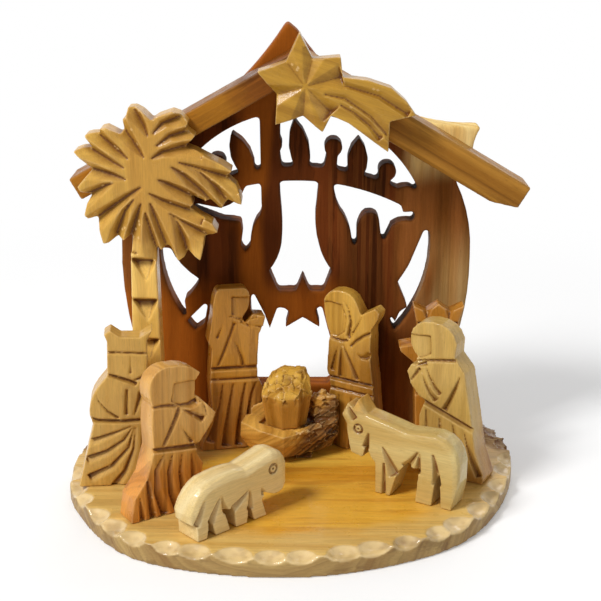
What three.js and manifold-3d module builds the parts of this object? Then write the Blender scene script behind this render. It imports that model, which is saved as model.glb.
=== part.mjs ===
// Nativity stable carved from olive wood: a round-windowed back panel under two roof slats,
// on an oval base, with a palm, a comet star, a manger, standing figures and two animals.
// Millimetres. X runs to the right, Y away from the viewer, Z up; the base stands on Z = 0.

import * as THREE from 'three';
import { ConvexGeometry } from 'three/addons/geometries/ConvexGeometry.js';
import { mergeVertices } from 'three/addons/utils/BufferGeometryUtils.js';
import Module from 'manifold-3d';

const wasm = await Module();
wasm.setup();

// Glue line left between two pieces that are joined
const glueLine = 0.1;

// Base: a slice of trunk with scoops cut round its front rim
const baseWidth = 155;
const baseDepth = 114;
const baseThickness = 7;
const scoopCount = 25;
const scoopWidth = 11.5;
const scoopReach = 6.5;
const scoopDepth = 2.6;
const scoopUnevenness = 0.12;

// Back panel: a board with a round window, standing across the rear of the base
const panelHalfWidth = 62;
const panelHeight = 149;
const panelThickness = 9;
const panelFront = 34;
const windowRadius = 47.5;
const windowHeight = 72;
const branchThickness = 5;
const branchBowPoints = 120;
const branchBowDrop = 1.2;
const branchBowReach = 1.8;
const oliveRadius = 3.1;
const leafWidth = 8.5;
const leafGap = 2.2;

// Roof slats: two bars meeting over the peak of the panel
const roofPeakX = 1.5;
const roofPeakHeight = 142.5;
const roofDepth = 16;
const leftSlatLength = 88;
const leftSlatThickness = 8;
const leftSlatPitch = THREE.MathUtils.degToRad(29.2);
const rightSlatLength = 90;
const rightSlatThickness = 11;
const rightSlatPitch = THREE.MathUtils.degToRad(30.7);
const rightSlatBevel = 3;
const rightSlatCornerCut = 8.8;
const rightSlatEaveEnd = 7.9;

// Comet star: six arms, the sixth drawn out into a tail
const starX = 3.4;
const starHeight = 131.6;
const starThickness = 8;
const starRadius = 17;
const tailLength = 37;
const starGougeWidth = 9.5;
const starGougeDepth = 2.5;
const tailGougeWidth = 6;
const tailGougeDepth = 2;

// Palm: a board with a fan of carved leaves on a notched trunk
const palmX = -50.2;
const palmThickness = 10;
const palmHeight = 104.5;
const trunkTopWidth = 8.4;
const trunkFootWidth = 11;
const crownOffset = 2.1;
const crownReach = 36;
const leafGougeWidth = 8;
const leafGougeDepth = 4.2;
const leafGougeLean = 0.25;
const leafGougeRunOut = 5;
const trunkNotchHeight = 9.5;
const trunkNotchDepth = 3;

// Figures: boards sawn to outline, then cut on the front
const motherSize = { width: 24, height: 60, thickness: 9 };
const fatherSize = { width: 21, height: 59, thickness: 8.5 };
const kingSize = { width: 26.4, height: 55, thickness: 10 };
const shepherdSize = { width: 31, height: 50, thickness: 9 };
const wiseManSize = { width: 29, height: 54.7, thickness: 10 };
const rearKingSize = { width: 26.4, height: 56, thickness: 9 };
const figureEase = 2.4;

// Animals: boards with a rounded back
const sheepSize = { width: 39.5, height: 21.2, thickness: 10 };
const sheepEase = 2.4;
const oxSize = { width: 43, height: 31.5, thickness: 9.5 };
const oxEase = 1.8;

// Manger and infant: pieces of a branch, split and left rough
const mangerWidth = 36;
const mangerDepth = 23;
const mangerHeight = 13;
const mangerLift = 2.6;
const mangerBelly = 0.45;
const hollowDepth = 1.6;
const infantWidth = 18;
const infantDepth = 12.5;
const infantFrontHeight = 11.5;
const infantBackHeight = 20.5;
const infantOffset = -1.6;
const seatClearance = 0.8;

// How far a piece turned by some degrees reaches back from its left front foot
function reachBack({ width, thickness }, turn) {
  const angle = THREE.MathUtils.degToRad(turn);
  return Math.max(0, width * Math.sin(angle)) + thickness * Math.cos(angle);
}

// Where each standing piece is glued: left front foot of its outline, and its turn in degrees
const panelClearance = 0.4;
const motherTurn = 12;
const motherY = panelFront - panelClearance - reachBack(motherSize, motherTurn);
const motherPlace = { x: -33.7, y: motherY, turn: motherTurn };
const fatherTurn = -24;
const fatherY = panelFront - panelClearance - reachBack(fatherSize, fatherTurn);
const fatherPlace = { x: 9.6, y: fatherY, turn: fatherTurn };
const kingPlace = { x: -72.6, y: -9.1, turn: 6 };
const shepherdPlace = { x: -51.6, y: -36, turn: 32 };
const wiseManPlace = { x: 38, y: 5.9, turn: -28 };
const rearKingPlace = { x: 36.2, y: 17.5, turn: 0 };
const sheepPlace = { x: -31.4, y: -49.7, turn: 42 };
const oxPlace = { x: 15, y: -6.3, turn: -30 };
const mangerPlace = { x: -1.5, y: 17.6 };

// A closed three.js geometry as a solid that can be cut and joined
function toSolid(geometry) {
  geometry.deleteAttribute('normal');
  geometry.deleteAttribute('uv');
  const closed = mergeVertices(geometry, 1e-4);
  return new wasm.Manifold(new wasm.Mesh({
    numProp: 3,
    vertProperties: new Float32Array(closed.attributes.position.array),
    triVerts: new Uint32Array(closed.index.array),
  }));
}

// The finished solid as a named mesh with its own wood
function piece(name, solid, wood) {
  const { vertProperties, triVerts } = solid.getMesh();
  const geometry = new THREE.BufferGeometry();
  geometry.setAttribute('position', new THREE.BufferAttribute(vertProperties, 3));
  geometry.setIndex(new THREE.BufferAttribute(triVerts, 1));
  const material = new THREE.MeshStandardMaterial({ ...wood, metalness: 0, flatShading: true });
  const mesh = new THREE.Mesh(geometry, material);
  mesh.name = name;
  return mesh;
}

const cutAll = (solid, cutters) => cutters.reduce((rest, cutter) => rest.subtract(cutter), solid);
const joinAll = (solids) => solids.reduce((whole, part) => whole.add(part));

// The points of a drawing made in shares of a width and a height
function traced(draw, width, height, divisions = 4) {
  const pen = new THREE.Shape();
  draw(pen);
  return pen.getPoints(divisions).map((point) => new THREE.Vector2(point.x * width, point.y * height));
}

// An upright board of that outline, from its front face to its back face
function board(points, front, back) {
  const outline = new THREE.Shape(points);
  const geometry = new THREE.ExtrudeGeometry(outline, { depth: back - front, bevelEnabled: false });
  geometry.rotateX(Math.PI / 2);
  geometry.translate(0, back, 0);
  return toSolid(geometry);
}

// A flat slab of that plan, from one height to another
function slab(points, bottom, top) {
  const outline = new THREE.Shape(points);
  const geometry = new THREE.ExtrudeGeometry(outline, { depth: top - bottom, bevelEnabled: false });
  geometry.translate(0, 0, bottom);
  return toSolid(geometry);
}

// A disc-shaped board, for round openings
function disc(x, z, radius, front, back, points = 72) {
  const circle = new THREE.Shape();
  circle.absarc(x, z, radius, 0, 2 * Math.PI);
  return board(circle.getPoints(points).slice(0, -1), front, back);
}

// A V-shaped gouge cut into the front face along a path of points in millimetres.
// The shares say how much of its width and depth it has where it starts and where it ends.
// The lean is how far the tool was tipped: towards 1 the slope left of the path is long and
// the one right of it steep, and towards -1 the other way round.
function gougeCut(path, width, depth, startShare = 0.5, endShare = 1, lean = 0) {
  const above = 0.3;
  const curve = new THREE.SplineCurve(path.map(([x, z]) => new THREE.Vector2(x, z)));
  const steps = path.length > 2 ? 3 : 1;
  const section = (way) => {
    const at = curve.getPoint(way);
    const along = curve.getTangent(way);
    const share = startShare + (endShare - startShare) * way;
    const half = (width * share) / 2 + 0.1;
    const left = half * (1 + lean);
    const right = half * (1 - lean);
    return [
      new THREE.Vector3(at.x - along.y * left, -above, at.y + along.x * left),
      new THREE.Vector3(at.x + along.y * right, -above, at.y - along.x * right),
      new THREE.Vector3(at.x, depth * share, at.y),
    ];
  };
  const stretches = [];
  for (let i = 0; i < steps; i += 1) {
    const ends = [...section(i / steps), ...section((i + 1) / steps)];
    stretches.push(toSolid(new ConvexGeometry(ends)));
  }
  return joinAll(stretches);
}

// Base

function baseRim() {
  const shares = [
    [-1, 0.04], [-0.93, -0.28], [-0.66, -0.79], [-0.15, -1], [0.26, -0.94], [0.68, -0.64],
    [0.92, -0.1], [1, 0.5], [0.9, 0.93], [0.3, 1], [-0.45, 0.98], [-0.9, 0.72],
  ];
  const points = shares.map(([x, y]) => new THREE.Vector3((x * baseWidth) / 2, (y * baseDepth) / 2, 0));
  return new THREE.CatmullRomCurve3(points, true);
}

// One gouge scoop, pressed down into the rim at a share of the way round it; its boldness is 1
// for a scoop of the full width and reach
function scoop(rim, share, boldness) {
  const at = rim.getPointAt(share);
  const tangent = rim.getTangentAt(share);
  const ball = new THREE.IcosahedronGeometry(1, 1);
  ball.scale(scoopWidth * 0.58 * boldness, scoopReach * boldness, scoopDepth * 2);
  ball.rotateZ(Math.atan2(tangent.y, tangent.x));
  ball.translate(at.x, at.y, baseThickness + scoopDepth);
  return toSolid(ball);
}

function carvedBase() {
  const rim = baseRim();
  const outline = rim.getSpacedPoints(64).slice(0, -1).map((p) => new THREE.Vector2(p.x, p.y));
  const slice = slab(outline, 0, baseThickness);
  const firstScoop = 0;
  const lastScoop = 0.6;
  const scoops = [];
  for (let i = 0; i < scoopCount; i += 1) {
    const sway = scoopUnevenness * Math.sin(i * 2.4);
    const share = firstScoop + ((lastScoop - firstScoop) * (i + sway)) / (scoopCount - 1);
    const boldness = 1 + scoopUnevenness * Math.sin(i * 1.7 + 1);
    scoops.push(scoop(rim, share, boldness));
  }
  return cutAll(slice, scoops);
}

// Back panel

function panelOutline(pen) {
  pen.moveTo(-0.83, 0);
  pen.lineTo(-0.93, 0.25);
  pen.quadraticCurveTo(-1.02, 0.42, -0.965, 0.56);
  pen.lineTo(-0.95, 0.68);
  pen.lineTo(-0.97, 0.715);
  pen.quadraticCurveTo(-0.84, 0.73, -0.68, 0.755);
  pen.lineTo(-0.5, 0.81);
  pen.lineTo(-0.29, 0.875);
  pen.quadraticCurveTo(-0.16, 0.93, -0.065, 0.99);
  pen.quadraticCurveTo(-0.045, 1.005, -0.025, 0.998);
  pen.lineTo(0.015, 0.984);
  pen.quadraticCurveTo(0.09, 0.935, 0.2, 0.89);
  pen.lineTo(0.56, 0.8);
  pen.quadraticCurveTo(0.8, 0.765, 1.03, 0.768);
  pen.quadraticCurveTo(0.985, 0.74, 0.985, 0.705);
  pen.lineTo(0.9, 0.64);
  pen.quadraticCurveTo(1, 0.56, 0.995, 0.46);
  pen.quadraticCurveTo(1, 0.34, 0.93, 0.25);
  pen.lineTo(0.84, 0);
}

// Gap between the two large cloaked silhouettes, above the panel star
function centreGap(pen) {
  pen.moveTo(-0.116, 0.6);
  pen.lineTo(-0.109, 0.375);
  pen.quadraticCurveTo(-0.085, 0.15, -0.1, 0.02);
  pen.quadraticCurveTo(-0.12, -0.1, -0.194, -0.187);
  pen.lineTo(-0.128, -0.352);
  pen.lineTo(0.213, -0.35);
  pen.lineTo(0.272, -0.187);
  pen.quadraticCurveTo(0.2, -0.09, 0.179, 0.004);
  pen.quadraticCurveTo(0.13, 0.16, 0.16, 0.34);
  pen.lineTo(0.183, 0.6);
}

// Gap between the left cloak and the smaller silhouette beside it
function leftGap(pen) {
  pen.moveTo(-0.255, 0.6);
  pen.quadraticCurveTo(-0.21, 0.36, -0.257, 0.24);
  pen.quadraticCurveTo(-0.33, 0.17, -0.333, 0.004);
  pen.lineTo(-0.375, -0.05);
  pen.lineTo(-0.402, 0.004);
  pen.lineTo(-0.388, 0.103);
  pen.lineTo(-0.4, 0.19);
  pen.lineTo(-0.537, 0.206);
  pen.lineTo(-0.737, 0.284);
  pen.lineTo(-0.747, 0.33);
  pen.lineTo(-0.547, 0.29);
  pen.quadraticCurveTo(-0.4, 0.33, -0.368, 0.44);
  pen.lineTo(-0.347, 0.6);
}

// Gap between the right cloak and the round-headed silhouette beside it
function rightGap(pen) {
  pen.moveTo(0.3, 0.6);
  pen.lineTo(0.282, 0.474);
  pen.quadraticCurveTo(0.29, 0.31, 0.366, 0.225);
  pen.quadraticCurveTo(0.42, 0.12, 0.425, 0.004);
  pen.lineTo(0.459, 0.019);
  pen.lineTo(0.457, 0.139);
  pen.quadraticCurveTo(0.48, 0.26, 0.554, 0.257);
  pen.quadraticCurveTo(0.62, 0.25, 0.621, 0.189);
  pen.lineTo(0.645, 0.004);
  pen.lineTo(0.712, 0.156);
  pen.quadraticCurveTo(0.78, 0.21, 0.876, 0.189);
  pen.lineTo(0.882, 0.265);
  pen.lineTo(0.792, 0.257);
  pen.lineTo(0.756, 0.6);
}

// Sickle-shaped gap inside the rim of the window, lower left
function lowerLeftGap(pen) {
  pen.moveTo(-1.1, 0);
  pen.lineTo(-0.922, -0.015);
  pen.quadraticCurveTo(-0.87, -0.15, -0.712, -0.257);
  pen.quadraticCurveTo(-0.76, -0.36, -0.832, -0.415);
  pen.lineTo(-0.81, -0.575);
  pen.lineTo(-0.65, -0.415);
  pen.lineTo(-0.686, -0.608);
  pen.lineTo(-0.762, -0.661);
  pen.lineTo(-1.1, -0.72);
}

// Sickle-shaped gap inside the rim of the window, lower right
function lowerRightGap(pen) {
  pen.moveTo(0.958, 0.139);
  pen.lineTo(1.1, 0);
  pen.lineTo(1.05, -0.57);
  pen.lineTo(0.754, -0.684);
  pen.lineTo(0.661, -0.432);
  pen.lineTo(0.752, -0.592);
  pen.lineTo(0.787, -0.51);
  pen.lineTo(0.844, -0.472);
  pen.lineTo(0.764, -0.28);
  pen.quadraticCurveTo(0.83, -0.18, 0.851, -0.135);
}

// Gap behind the manger, with a slot running up each side of the panel star
function mangerGap(pen) {
  pen.moveTo(-0.305, -1.095);
  pen.lineTo(0.263, -1.095);
  pen.lineTo(0.295, -0.82);
  pen.lineTo(0.242, -0.632);
  pen.lineTo(0.2, -0.463);
  pen.lineTo(0.154, -0.488);
  pen.lineTo(0.116, -0.55);
  pen.lineTo(-0.01, -0.55);
  pen.lineTo(-0.074, -0.484);
  pen.lineTo(-0.133, -0.474);
  pen.lineTo(-0.192, -0.642);
  pen.lineTo(-0.232, -0.526);
  pen.lineTo(-0.32, -0.345);
  pen.lineTo(-0.337, -0.442);
}

// Five-pointed star left standing between the gaps
function panelStar(pen) {
  const centre = [0.057, -0.453];
  const outer = 0.227;
  const inner = 0.1;
  for (let i = 0; i < 10; i += 1) {
    const angle = Math.PI / 2 + (i * Math.PI) / 5;
    const radius = i % 2 === 0 ? outer : inner;
    const x = centre[0] + radius * Math.cos(angle);
    const z = centre[1] + radius * Math.sin(angle);
    if (i === 0) pen.moveTo(x, z);
    else pen.lineTo(x, z);
  }
}

// A pointed leaf, root at the origin and tip straight up, drawn in shares of its width and length
function leafOutline(pen) {
  pen.moveTo(-0.2, -0.1);
  pen.lineTo(0.2, -0.1);
  pen.quadraticCurveTo(0.72, 0.5, 0, 1);
  pen.quadraticCurveTo(-0.72, 0.5, -0.2, -0.1);
}

// Stalk of an olive, drawn in shares of the leaf width and its own length
function stalkOutline(pen) {
  pen.moveTo(-0.28, -0.2);
  pen.lineTo(0.28, -0.2);
  pen.lineTo(0.2, 1);
  pen.lineTo(-0.2, 1);
}

// Olive branch bent across the top of the window: leaves and olives stand on its upper edge
function oliveBranch(bow, front, back) {
  const windowCentre = new THREE.Vector2(0, windowHeight);
  const origin = new THREE.Vector2();
  const sprigs = 9;
  const firstAngle = THREE.MathUtils.degToRad(114);
  const sweep = THREE.MathUtils.degToRad(-51);
  const parts = [];
  for (let i = 0; i < sprigs; i += 1) {
    const angle = firstAngle + (sweep * i) / (sprigs - 1);
    const ray = new THREE.Vector2(Math.cos(angle), Math.sin(angle));
    const foot = ray.clone().multiplyScalar(bow.radius).add(bow.centre);
    const away = foot.clone().sub(windowCentre);
    const inwards = -away.dot(ray);
    const reach = inwards + Math.sqrt(inwards ** 2 - away.lengthSq() + windowRadius ** 2);
    const length = reach - leafGap;
    const isLeaf = i % 2 === 0;
    const lean = isLeaf ? 0.2 : 0;
    const stand = (point) => point.rotateAround(origin, angle - Math.PI / 2 + lean).add(foot);
    if (isLeaf) {
      parts.push(board(traced(leafOutline, leafWidth, length).map(stand), front, back));
    } else {
      const stalk = length * 0.5;
      const end = ray.clone().multiplyScalar(stalk).add(foot);
      parts.push(disc(end.x, end.y, oliveRadius, front, back, 16));
      parts.push(board(traced(stalkOutline, leafWidth, stalk).map(stand), front, back));
    }
  }
  return joinAll(parts);
}

function backPanel() {
  const front = 0;
  const back = panelThickness;
  const through = [front - 1, back + 1];
  const inWindow = (draw) => traced(draw, windowRadius, windowRadius)
    .map((p) => new THREE.Vector2(p.x, p.y + windowHeight));
  const window = disc(0, windowHeight, windowRadius, ...through);
  const bowX = 0.01 * windowRadius;
  const bowZ = windowHeight - branchBowDrop * windowRadius;
  const bowRadius = branchBowReach * windowRadius;
  const bowBottom = bowRadius - branchThickness;
  const aboveBranch = disc(bowX, bowZ, bowRadius, ...through, branchBowPoints);
  const belowBranch = disc(bowX, bowZ, bowBottom, ...through, branchBowPoints);
  const blank = board(traced(panelOutline, panelHalfWidth, panelHeight, 5), front, back);
  const lowerGaps = [centreGap, leftGap, rightGap, lowerLeftGap, lowerRightGap]
    .map((draw) => board(inWindow(draw), ...through).intersect(window).intersect(belowBranch));
  const upperGap = window.subtract(aboveBranch);
  const pierced = cutAll(blank, [upperGap, ...lowerGaps, board(inWindow(mangerGap), ...through)]);
  const bow = { centre: new THREE.Vector2(bowX, bowZ), radius: bowRadius - 0.5 };
  const post = (pen) => {
    pen.moveTo(-0.246, 0.3);
    pen.lineTo(-0.116, 0.3);
    pen.lineTo(-0.105, 1.01);
    pen.lineTo(-0.255, 1.01);
  };
  const inside = [oliveBranch(bow, front, back), board(inWindow(post), front, back)];
  return joinAll([pierced, board(inWindow(panelStar), front, back), ...inside]);
}

// Roof slats

function slatOutline(side, pitch, length, thickness) {
  const along = new THREE.Vector2(side * Math.cos(pitch), -Math.sin(pitch));
  const down = new THREE.Vector2(-side * Math.sin(pitch), -Math.cos(pitch));
  const peak = new THREE.Vector2(roofPeakX + (side * glueLine) / 2, roofPeakHeight);
  const upperEnd = peak.clone().addScaledVector(along, length);
  const lowerEnd = upperEnd.clone().addScaledVector(down, thickness);
  const lowerPeak = new THREE.Vector2(peak.x, peak.y - thickness / Math.cos(pitch));
  return { along, down, peak, upperEnd, lowerEnd, lowerPeak };
}

function leftSlat() {
  const shape = slatOutline(-1, leftSlatPitch, leftSlatLength, leftSlatThickness);
  return board([shape.peak, shape.upperEnd, shape.lowerEnd, shape.lowerPeak], 0, roofDepth);
}

// The right slat has its lower corner sawn off at the eave and its lower front edge planed away
function rightSlat() {
  const shape = slatOutline(1, rightSlatPitch, rightSlatLength, rightSlatThickness);
  const { along, down, peak, upperEnd, lowerEnd, lowerPeak } = shape;
  const eaveEnd = upperEnd.clone().addScaledVector(down, rightSlatEaveEnd);
  const underside = lowerEnd.clone().addScaledVector(along, -rightSlatCornerCut);
  const bar = board([peak, lowerPeak, underside, eaveEnd, upperEnd], 0, roofDepth);
  const planed = [];
  const outside = 1;
  for (const end of [lowerPeak, lowerEnd]) {
    const reach = end === lowerPeak ? -rightSlatThickness : rightSlatThickness;
    const foot = end.clone().addScaledVector(along, reach);
    const high = foot.clone().addScaledVector(down, -rightSlatBevel);
    const low = foot.clone().addScaledVector(down, outside);
    planed.push(new THREE.Vector3(high.x, 0, high.y));
    planed.push(new THREE.Vector3(high.x, -outside, high.y));
    planed.push(new THREE.Vector3(low.x, -outside, low.y));
    planed.push(new THREE.Vector3(foot.x, rightSlatBevel / 2, foot.y));
    planed.push(new THREE.Vector3(low.x, rightSlatBevel / 2, low.y));
  }
  return bar.subtract(toSolid(new ConvexGeometry(planed)));
}

// Comet star

function polar(degrees, radius) {
  const angle = THREE.MathUtils.degToRad(degrees);
  return [radius * Math.cos(angle), radius * Math.sin(angle)];
}

// Arms in order round the star: the tip and the notch after it, as angle and share of the radius
const starArms = [
  { tip: [96, 1.01], notch: [75, 0.53] },
  { tip: [40, 0.87], notch: [14, 0.73] },
  { tip: [-69, 0.93], notch: [-94, 0.57] },
  { tip: [-128, 0.92], notch: [-164, 0.56] },
  { tip: [163, 0.95], notch: [128, 0.58] },
];

// Lower edge of the tail, back from its far tip, in shares of its length
const tailEdge = [
  [0.55, 0.054], [0.75, -0.013], [0.884, -0.132], [0.968, -0.251], [0.741, -0.305], [0.732, -0.576],
  [0.61, -0.49], [0.49, -0.4], [0.38, -0.319], [0.227, -0.251],
];

function cometStar() {
  const outline = [];
  for (const [i, { tip, notch }] of starArms.entries()) {
    outline.push(polar(tip[0], starRadius * tip[1]));
    outline.push(polar(notch[0], starRadius * notch[1]));
    if (i === 1) outline.push(...tailEdge.map(([x, z]) => [x * tailLength, z * tailLength]));
  }
  const blank = board(outline.map(([x, z]) => new THREE.Vector2(x, z)), 0, starThickness);
  const valleyAngles = [128, 75, 14, -46, -94, -164];
  const valleys = valleyAngles.map((degrees) => {
    const path = [polar(degrees, 0), polar(degrees, starRadius * 0.72)];
    return gougeCut(path, starGougeWidth, starGougeDepth, 0.12, 1);
  });
  const tailPaths = [
    [[0.12, -0.01], [0.5, -0.02], [0.9, -0.25]],
    [[0.16, -0.07], [0.46, -0.16], [0.78, -0.5]],
    [[0.3, -0.16], [0.5, -0.28], [0.66, -0.46]],
  ];
  const grooves = tailPaths.map((path) => {
    const points = path.map(([x, z]) => [x * tailLength, z * tailLength]);
    return gougeCut(points, tailGougeWidth, tailGougeDepth, 0.3, 0.8, 0.4);
  });
  return cutAll(blank, [...valleys, ...grooves]);
}

// Palm

// Edge of the crown, clockwise from its first tip: angle in degrees, share of the reach
const crownEdge = [
  [105, 0.59], [99, 0.58], [93, 0.54], [83, 0.46], [77, 0.51], [66, 0.59], [59, 0.6], [49, 0.58],
  [46, 0.52], [35, 0.54], [32, 0.41], [22, 0.48], [14, 0.55], [4, 0.7], [0, 0.77], [-5, 0.72],
  [-10, 0.82], [-16, 0.88], [-20, 0.91], [-21, 0.78], [-25, 0.76], [-29, 0.76], [-26, 0.63],
  [-30, 0.59], [-31, 0.45], [-38, 0.52], [-43, 0.51], [-42, 0.64], [-40, 0.76], [-42, 0.85],
  [-46, 0.84], [-51, 0.8], [-56, 0.88], [-61, 0.96], [-65, 0.83], [-69, 0.88], [-73, 0.89],
  [-75, 0.73], [-78, 0.73], [-82, 0.76], [-86, 0.7], [-105, 0.62], [-110, 0.7], [-115, 0.68],
  [-119, 0.77], [-122, 0.8], [-126, 0.75], [-130, 0.71], [-137, 0.64], [-141, 0.72], [-145, 0.71],
  [-151, 0.64], [-156, 0.56], [-162, 0.64], [-167, 0.65], [180, 0.5], [170, 0.6], [165, 0.68],
  [161, 0.62], [157, 0.53], [150, 0.64], [146, 0.6], [141, 0.54], [137, 0.56], [132, 0.53],
  [125, 0.4], [118, 0.42], [114, 0.51], [110, 0.51],
];

// Gouge cuts between the leaves, from the edge inwards, in the same terms
const leafCuts = [
  [[101, 0.58], [95, 0.47], [85, 0.31]], [[117, 0.44], [113, 0.28], [98, 0.12]],
  [[142, 0.55], [143, 0.37], [146, 0.19]], [[158, 0.54], [162, 0.4], [172, 0.2]],
  [[178, 0.51], [-178, 0.38], [-157, 0.2]], [[-158, 0.58], [-160, 0.47], [-161, 0.32]],
  [[-137, 0.64], [-134, 0.42], [-110, 0.15]], [[-116, 0.69], [-120, 0.52], [-116, 0.28]],
  [[-106, 0.64], [-105, 0.47], [-102, 0.3]], [[-86, 0.7], [-90, 0.52], [-94, 0.38]],
  [[-78, 0.73], [-80, 0.52], [-86, 0.29]], [[-66, 0.83], [-62, 0.64], [-62, 0.44]],
  [[-48, 0.82], [-54, 0.64], [-64, 0.43]], [[-44, 0.53], [-56, 0.38], [-88, 0.2]],
  [[-31, 0.45], [-32, 0.29], [-38, 0.12]], [[-26, 0.62], [-15, 0.43], [12, 0.22]],
  [[-22, 0.77], [-7, 0.55], [6, 0.37]], [[-5, 0.73], [-1, 0.57], [16, 0.3]],
  [[42, 0.53], [51, 0.46], [69, 0.24]], [[55, 0.59], [65, 0.53], [80, 0.34]],
  [[31, 0.42], [43, 0.3], [70, 0.12]],
];

// A heart-shaped chip taken out of the trunk: a level stop cut and a slope down to a point
function trunkNotch(top) {
  const half = trunkTopWidth * 0.6;
  const above = -0.3;
  const deepest = top - trunkNotchHeight * 0.2;
  return toSolid(new ConvexGeometry([
    new THREE.Vector3(-half, above, top),
    new THREE.Vector3(half, above, top - 0.4),
    new THREE.Vector3(half * 0.15, above, top - trunkNotchHeight),
    new THREE.Vector3(-half * 0.55, trunkNotchDepth, deepest),
    new THREE.Vector3(half * 0.55, trunkNotchDepth, deepest),
  ]));
}

function palm() {
  const crownTurn = [crownOffset, palmHeight];
  const at = ([degrees, share]) => polar(degrees, crownReach * share)
    .map((value, i) => value + crownTurn[i]);
  const crown = board(crownEdge.map((point) => new THREE.Vector2(...at(point))), 0, palmThickness);
  const trunk = (pen) => {
    pen.moveTo(-0.5 * trunkFootWidth, 0);
    pen.lineTo(0.5 * trunkFootWidth, 0);
    pen.lineTo(0.5 * trunkTopWidth, palmHeight * 0.72);
    pen.lineTo(0.45 * trunkTopWidth + crownOffset, palmHeight);
    pen.lineTo(-0.45 * trunkTopWidth + crownOffset, palmHeight);
    pen.lineTo(-0.5 * trunkTopWidth, palmHeight * 0.72);
  };
  const blank = board(traced(trunk, 1, 1), 0, palmThickness).add(crown);
  const cuts = leafCuts.map((cut) => {
    const [edge, next, ...rest] = cut.map(at);
    const across = edge[0] - next[0];
    const up = edge[1] - next[1];
    const stretch = 1 + leafGougeRunOut / Math.hypot(across, up);
    const start = [next[0] + across * stretch, next[1] + up * stretch];
    const lean = across > 0 ? leafGougeLean : -leafGougeLean;
    return gougeCut([start, next, ...rest], leafGougeWidth, leafGougeDepth, 1, 0.16, lean);
  });
  const notches = [0.725, 0.59, 0.455, 0.32].map((share) => trunkNotch(palmHeight * share));
  return cutAll(blank, [...cuts, ...notches]);
}

// Figures

// A figure's blank: its sawn outline, eased on the back edges with a spokeshave
function figureBlank(size, draw) {
  const { width, height, thickness } = size;
  const side = [
    [0, -1], [0, 0.6 * height], [0.5, 0.78 * height], [0.4, height + 1],
    [thickness - figureEase, height + 1], [thickness, 0.7 * height], [thickness, -1],
  ];
  const reach = width * 3;
  const sideBoard = new THREE.ExtrudeGeometry(
    new THREE.Shape(side.map(([y, z]) => new THREE.Vector2(y, z))),
    { depth: reach, bevelEnabled: false },
  );
  sideBoard.applyMatrix4(new THREE.Matrix4().set(0, 0, 1, -width, 1, 0, 0, 0, 0, 1, 0, 0, 0, 0, 0, 1));
  return board(traced(draw, width, height), 0, thickness).intersect(toSolid(sideBoard));
}

// Gouge cuts given in shares of the figure: path, width, depth and end shares
function carved(size, blank, cuts) {
  const place = ([x, z]) => [x * size.width, z * size.height];
  return cutAll(blank, cuts.map(([path, ...rest]) => gougeCut(path.map(place), ...rest)));
}

// A shallow sunk patch on the front, for a face under its hood
function sunk(size, corners, depth) {
  const points = corners.map(([x, z]) => new THREE.Vector2(x * size.width, z * size.height));
  return board(points, -1, depth);
}

function motherFigure() {
  const outline = (pen) => {
    pen.moveTo(0, 0);
    pen.lineTo(0.18, 0.26);
    pen.lineTo(0.16, 0.42);
    pen.lineTo(0.2, 0.64);
    pen.lineTo(0.15, 0.675);
    pen.lineTo(0.22, 0.83);
    pen.quadraticCurveTo(0.23, 0.98, 0.32, 1);
    pen.lineTo(0.68, 1);
    pen.quadraticCurveTo(0.79, 0.99, 0.77, 0.91);
    pen.lineTo(0.75, 0.87);
    pen.lineTo(0.665, 0.815);
    pen.lineTo(0.7, 0.78);
    pen.lineTo(0.82, 0.83);
    pen.lineTo(1, 0.82);
    pen.lineTo(0.97, 0.765);
    pen.lineTo(0.9, 0.715);
    pen.lineTo(0.875, 0.59);
    pen.lineTo(0.87, 0.45);
    pen.lineTo(0.96, 0.375);
    pen.lineTo(0.92, 0.29);
    pen.lineTo(0.7, 0);
  };
  const face = [[0.5, 0.95], [0.9, 0.94], [0.9, 0.81], [0.68, 0.8], [0.5, 0.84]];
  const blank = figureBlank(motherSize, outline).subtract(sunk(motherSize, face, 1.3));
  return carved(motherSize, blank, [
    [[[0.42, 0.83], [0.58, 0.815], [0.72, 0.79]], 4.1, 2.4, 0.3, 1, 0.6],
    [[[0.54, 0.79], [0.44, 0.68], [0.28, 0.53]], 3.6, 2, 0.7, 0.4],
    [[[0.4, 0.82], [0.28, 0.7]], 2.6, 1.6, 0.4, 0.8],
    [[[0.64, 0.8], [0.78, 0.755]], 2.6, 2, 1, 0.5],
    [[[0.78, 0.77], [1, 0.745]], 2, 1.6, 0.5, 1],
    [[[0.5, 0.7], [0.62, 0.6], [0.66, 0.52]], 3, 1.6, 0.3, 0.8],
    [[[0.1, 0.515], [0.95, 0.51]], 2, 1.6, 1, 1],
    [[[0.1, 0.447], [0.92, 0.44]], 1.6, 1.1, 1, 1],
    [[[0.34, 0.42], [0.26, 0.22], [0.1, 0.06]], 4.6, 2, 0.3, 1, 0.6],
    [[[0.5, 0.42], [0.4, 0.2], [0.34, 0.02]], 5.1, 2.1, 0.3, 1, 0.6],
    [[[0.68, 0.42], [0.6, 0.24], [0.54, 0.02]], 4.9, 2, 0.3, 1, 0.6],
    [[[0.84, 0.42], [0.74, 0.3], [0.7, 0.12]], 4.1, 1.7, 0.3, 0.9, 0.6],
  ]);
}

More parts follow.
